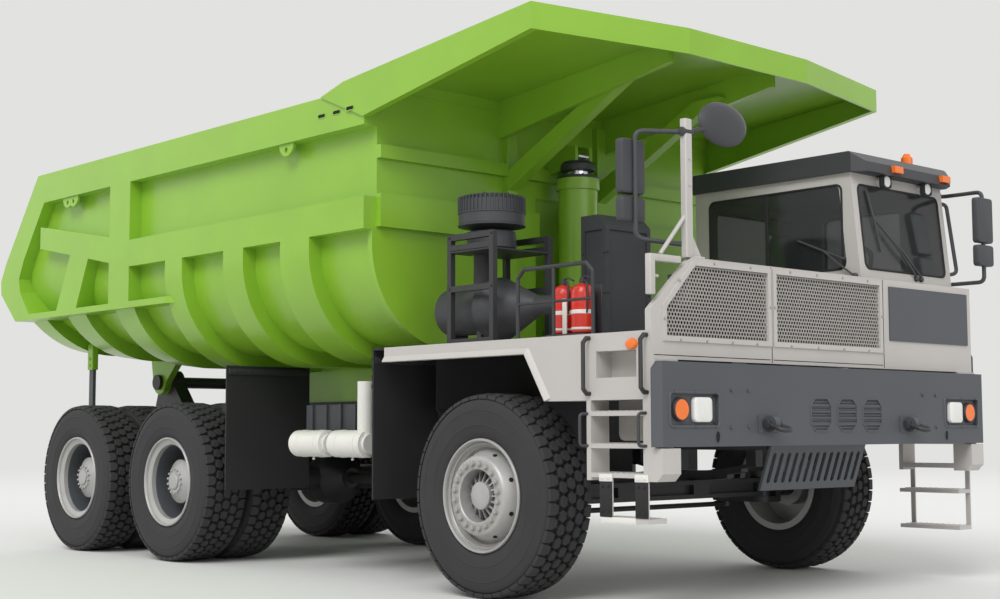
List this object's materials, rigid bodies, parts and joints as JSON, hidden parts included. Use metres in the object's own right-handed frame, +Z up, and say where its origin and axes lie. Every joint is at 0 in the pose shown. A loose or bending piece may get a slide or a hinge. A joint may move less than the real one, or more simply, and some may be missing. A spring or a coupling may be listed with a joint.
{
  "type": "wide-body mining dump truck",
  "caption": "Off-road mining dump truck with a side-mounted cab, ribbed tipping rock body with canopy, front telescopic hoist, steered front wheels and twin-tyred rear bogie.",
  "frame": {"origin": "on the ground, at the middle of the truck's length and width", "axes": "+X points forward along the truck, +Y to its left, +Z up"},
  "size_m": [10.8598, 4.76, 4.74],
  "materials": {
    "green_paint": "satin paint",
    "grey_paint": "satin paint",
    "slate_paint": "satin paint",
    "mesh_paint": "satin paint",
    "roof_paint": "matte paint",
    "white_paint": "gloss paint",
    "red_paint": "gloss paint",
    "frame_black": "satin paint",
    "engine_iron": "painted casting",
    "spring_steel": "oiled steel",
    "rod_chrome": "ground and plated",
    "rim_silver": "silver paint",
    "tyre_rubber": "matte rubber",
    "flap_rubber": "matte rubber",
    "dark_plastic": "fine grain",
    "seat_fabric": "woven",
    "window_glass": "clear",
    "lamp_glass": "clear lens",
    "orange_lens": "moulded lens"
  },
  "bodies": {
    "chassis": {"air_cleaner": "dark_plastic", "air_tanks": "white_paint", "battery_box": "dark_plastic", "bumper": "slate_paint", "cab_glass": "window_glass", "cab_roof": "roof_paint", "cab_shell": "grey_paint", "cleaner_cage": "frame_black", "cowl_plate": "slate_paint", "dashboard": "dark_plastic", "deck": "grey_paint", "driver_seat": "seat_fabric", "engine": "engine_iron", "exhaust_box": "dark_plastic", "extinguishers": "red_paint", "frame": "frame_black", "front_axle": "frame_black", "fuel_tank": "grey_paint", "grilles": "mesh_paint", "handrail": "frame_black", "headlamps": "lamp_glass", "ladders": "grey_paint", "leaf_springs": "spring_steel", "mirrors": "dark_plastic", "mud_flaps": "flap_rubber", "nose_panel": "grey_paint", "orange_lamps": "orange_lens", "prop_shafts": "spring_steel", "radiator": "frame_black", "rear_axles": "frame_black", "skid_guard": "slate_paint"},
    "knuckle_right": {"knuckle_right": "frame_black"},
    "knuckle_left": {"knuckle_left": "frame_black"},
    "tie_rod": {"tie_rod": "spring_steel"},
    "cab_door": {"cab_door": "grey_paint", "door_glass": "window_glass"},
    "bed": {"bed_tub": "green_paint", "bed_canopy": "green_paint", "rock_bars": "green_paint"},
    "hoist_barrel": {"hoist_barrel": "green_paint"},
    "hoist_stage_1": {"hoist_stage_1": "rod_chrome"},
    "hoist_stage_2": {"hoist_stage_2": "rod_chrome"},
    "hoist_stage_3": {"hoist_stage_3": "rod_chrome"},
    "wheel_front_right": {"front_right_rim": "rim_silver", "front_right_tyre": "tyre_rubber"},
    "wheel_front_left": {"front_left_rim": "rim_silver", "front_left_tyre": "tyre_rubber"},
    "wheel_mid_right": {"mid_right_rims": "rim_silver", "mid_right_tyres": "tyre_rubber"},
    "wheel_mid_left": {"mid_left_rims": "rim_silver", "mid_left_tyres": "tyre_rubber"},
    "wheel_rear_right": {"rear_right_rims": "rim_silver", "rear_right_tyres": "tyre_rubber"},
    "wheel_rear_left": {"rear_left_rims": "rim_silver", "rear_left_tyres": "tyre_rubber"}
  },
  "joints": [
    {"name": "bed_tip", "type": "hinge", "parent": "chassis", "child": "bed", "pos_m": [-4.42, 0, 1.98], "axis": [0, -1, 0], "range_deg": [0, 45]},
    {"name": "hoist_lean", "type": "hinge", "parent": "chassis", "child": "hoist_barrel", "pos_m": [2.32, 0, 1.6], "axis": [0, -1, 0], "range_deg": [-0.5, 27.93]},
    {"name": "steer", "type": "hinge", "parent": "chassis", "child": "knuckle_right", "pos_m": [3.33, -1.48, 0.835], "axis": [0, 0, 1], "range_deg": [-32, 32]},
    {"name": "steer_left", "type": "hinge", "parent": "chassis", "child": "knuckle_left", "pos_m": [3.33, 1.48, 0.835], "axis": [0, 0, 1], "range_deg": [-32.5, 32.5]},
    {"name": "tie_rod_slide", "type": "slide", "parent": "chassis", "child": "tie_rod", "axis": [0, 1, 0], "range_m": [-0.22, 0.22]},
    {"name": "door_swing", "type": "hinge", "parent": "chassis", "child": "cab_door", "pos_m": [4.663, 2.16, 2.875], "axis": [0, 0, -1], "range_deg": [0, 75]},
    {"name": "hoist_slide_1", "type": "slide", "parent": "hoist_barrel", "child": "hoist_stage_1", "axis": [0, 0, 1], "range_m": [-0.005, 1.677]},
    {"name": "hoist_slide_2", "type": "slide", "parent": "hoist_stage_1", "child": "hoist_stage_2", "axis": [0, 0, 1], "range_m": [-0.005, 1.677]},
    {"name": "hoist_slide_3", "type": "slide", "parent": "hoist_stage_2", "child": "hoist_stage_3", "axis": [0, 0, 1], "range_m": [-0.005, 1.677]},
    {"name": "spin_front_right", "type": "hinge", "parent": "knuckle_right", "child": "wheel_front_right", "pos_m": [3.33, -1.95, 0.835], "axis": [0, 1, 0], "continuous": true},
    {"name": "spin_front_left", "type": "hinge", "parent": "knuckle_left", "child": "wheel_front_left", "pos_m": [3.33, 1.95, 0.835], "axis": [0, 1, 0], "continuous": true},
    {"name": "spin_mid_right", "type": "hinge", "parent": "chassis", "child": "wheel_mid_right", "pos_m": [-1.65, -1.95, 0.835], "axis": [0, 1, 0], "continuous": true},
    {"name": "spin_mid_left", "type": "hinge", "parent": "chassis", "child": "wheel_mid_left", "pos_m": [-1.65, 1.95, 0.835], "axis": [0, 1, 0], "continuous": true},
    {"name": "spin_rear_right", "type": "hinge", "parent": "chassis", "child": "wheel_rear_right", "pos_m": [-3.69, -1.95, 0.835], "axis": [0, 1, 0], "continuous": true},
    {"name": "spin_rear_left", "type": "hinge", "parent": "chassis", "child": "wheel_rear_left", "pos_m": [-3.69, 1.95, 0.835], "axis": [0, 1, 0], "continuous": true}
  ],
  "couplings": [
    {"joint": "hoist_lean", "follows": "bed_tip", "ratio": 0.60963},
    {"joint": "hoist_slide_1", "follows": "bed_tip", "m_per_rad": 2.1225},
    {"joint": "hoist_slide_2", "follows": "bed_tip", "m_per_rad": 2.1225},
    {"joint": "hoist_slide_3", "follows": "bed_tip", "m_per_rad": 2.1225},
    {"joint": "steer_left", "follows": "steer", "ratio": 1},
    {"joint": "tie_rod_slide", "follows": "steer", "m_per_rad": -0.38}
  ]
}
